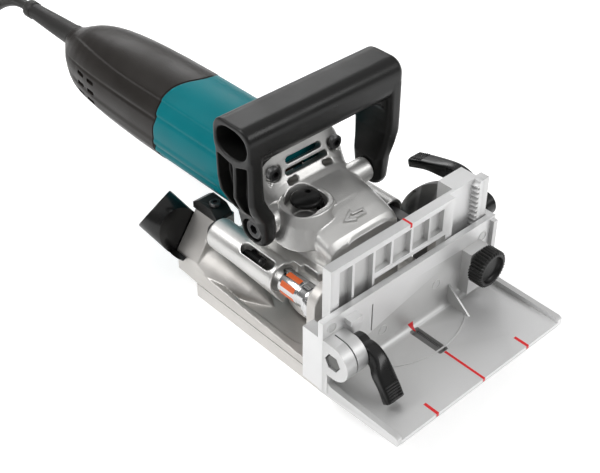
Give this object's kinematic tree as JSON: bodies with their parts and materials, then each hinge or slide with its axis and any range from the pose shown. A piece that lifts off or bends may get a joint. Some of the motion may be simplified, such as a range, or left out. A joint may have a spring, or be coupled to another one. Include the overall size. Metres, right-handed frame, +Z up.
{
  "type": "biscuit joiner",
  "caption": "Corded plate joiner: D-handled motor unit that plunges on a cast base, with a tilting angle guide, rack-driven sliding fence and a horizontal cutter.",
  "frame": {"origin": "on the flat underside of the blade cover, straight below the spindle axis", "axes": "+Z up along the spindle, -Y the cutting direction, +X to the right as seen from the operator's end"},
  "size_m": [0.2383, 0.6267, 0.1437],
  "materials": {
    "cast_aluminium": "satin cast, fine grain",
    "machined_aluminium": "milled faces on a satin casting",
    "bright_steel": "bright turned steel",
    "dark_steel": "blackened steel, semi-matt",
    "quadrant_steel": "dark grey phosphated plate",
    "black_plastic": "fine satin moulding",
    "gloss_black": "glossy moulding",
    "rear_plastic": "satin glass-filled moulding",
    "teal_plastic": "satin moulding",
    "rubber": "soft matt",
    "copper": "enamelled windings",
    "brass": "pressed strip",
    "carbon": "pressed carbon",
    "nylon": "natural nylon"
  },
  "bodies": {
    "base": {"base_casting": "cast_aluminium", "turret_pin": "bright_steel", "guide_bar": "dark_steel", "return_spring": "bright_steel", "tilt_clamp_stud": "bright_steel", "cover_hinge_pin": "bright_steel", "guide_hinge_pin_left": "bright_steel", "guide_hinge_pin_right": "bright_steel", "dust_nozzle": "gloss_black", "nozzle_bracket": "black_plastic", "bracket_screw": "dark_steel"},
    "motor_unit": {"gear_housing": "cast_aluminium", "housing_screw_left": "dark_steel", "housing_screw_right": "dark_steel", "handle_bolt_left": "dark_steel", "handle_bolt_right": "dark_steel", "depth_rod": "dark_steel", "d_handle": "black_plastic", "motor_housing": "teal_plastic", "rear_cover": "rear_plastic", "cord_guard": "rubber", "stator": "dark_steel", "switch_unit": "black_plastic", "fan_baffle": "nylon", "armature_front_bearing": "bright_steel", "armature_rear_bearing": "bright_steel", "rear_bearing_seat": "nylon", "spindle_lower_bearing": "bright_steel", "spindle_upper_bearing": "bright_steel", "brush_holder_left": "brass", "brush_holder_right": "brass", "carbon_brush_left": "carbon", "carbon_brush_right": "carbon", "power_cord": "rubber", "cord_coil": "rubber", "cord_tail": "rubber", "plug": "black_plastic"},
    "rotor": {"armature": "copper", "bevel_pinion": "bright_steel", "cooling_fan": "nylon"},
    "spindle_unit": {"spindle": "bright_steel", "bevel_gear": "bright_steel", "blade_flange": "dark_steel", "blade_nut": "dark_steel", "blade": "bright_steel"},
    "guide": {"angle_guide": "machined_aluminium", "tilt_quadrant": "quadrant_steel"},
    "fence_unit": {"fence": "machined_aluminium", "fence_clamp_bolt": "dark_steel"},
    "knob": {"height_knob": "black_plastic", "rack_pinion": "bright_steel"},
    "fence_lever_unit": {"fence_lever": "gloss_black"},
    "tilt_lever_unit": {"tilt_lever": "gloss_black"},
    "turret": {"depth_turret": "bright_steel"},
    "lock_button": {"shaft_lock_button": "gloss_black"},
    "switch": {"switch_slider": "black_plastic"},
    "cover": {"blade_cover": "cast_aluminium"}
  },
  "joints": [
    {"name": "plunge_slide", "type": "slide", "parent": "base", "child": "motor_unit", "axis": [0, -1, 0], "range_m": [0, 0.023], "stiffness_N_per_m": 450, "springref_m": -0.02, "deforming": ["return_spring"]},
    {"name": "rotor_spin", "type": "hinge", "parent": "motor_unit", "child": "rotor", "pos_m": [0, 0.097, 0.075], "axis": [0, 1, 0], "continuous": true},
    {"name": "blade_spin", "type": "hinge", "parent": "motor_unit", "child": "spindle_unit", "pos_m": [0, 0, 0.01], "axis": [0, 0, 1], "continuous": true},
    {"name": "guide_tilt", "type": "hinge", "parent": "base", "child": "guide", "pos_m": [0, -0.0508, 0.0179], "axis": [1, 0, 0], "range_deg": [0, 90]},
    {"name": "fence_slide", "type": "slide", "parent": "guide", "child": "fence_unit", "axis": [0, 0, 1], "range_m": [0, 0.04]},
    {"name": "knob_spin", "type": "hinge", "parent": "fence_unit", "child": "knob", "pos_m": [0.048, -0.065, 0.048], "axis": [0, 1, 0], "range_deg": [0, 460]},
    {"name": "fence_lock_turn", "type": "hinge", "parent": "fence_unit", "child": "fence_lever_unit", "pos_m": [-0.047, -0.0602, 0.0462], "axis": [1, 0, 0], "range_deg": [-70, 0]},
    {"name": "tilt_lock_turn", "type": "hinge", "parent": "base", "child": "tilt_lever_unit", "pos_m": [0.072, -0.0388, 0.0644], "axis": [1, 0, 0], "range_deg": [0, 60]},
    {"name": "turret_turn", "type": "hinge", "parent": "base", "child": "turret", "pos_m": [-0.043, -0.018, 0.049], "axis": [0, 1, 0], "continuous": true},
    {"name": "lock_press", "type": "slide", "parent": "motor_unit", "child": "lock_button", "axis": [0, 0, -1], "range_m": [0, 0.0025], "stiffness_N_per_m": 800, "springref_m": -0.002},
    {"name": "switch_slide", "type": "slide", "parent": "motor_unit", "child": "switch", "axis": [0, -1, 0], "range_m": [0, 0.008]},
    {"name": "cover_open", "type": "hinge", "parent": "base", "child": "cover", "pos_m": [0, 0.075, 0.005], "axis": [1, 0, 0], "range_deg": [0, 60]}
  ],
  "couplings": [
    {"joint": "blade_spin", "follows": "rotor_spin", "ratio": 0.40741},
    {"joint": "knob_spin", "follows": "fence_slide", "rad_per_m": 200}
  ]
}
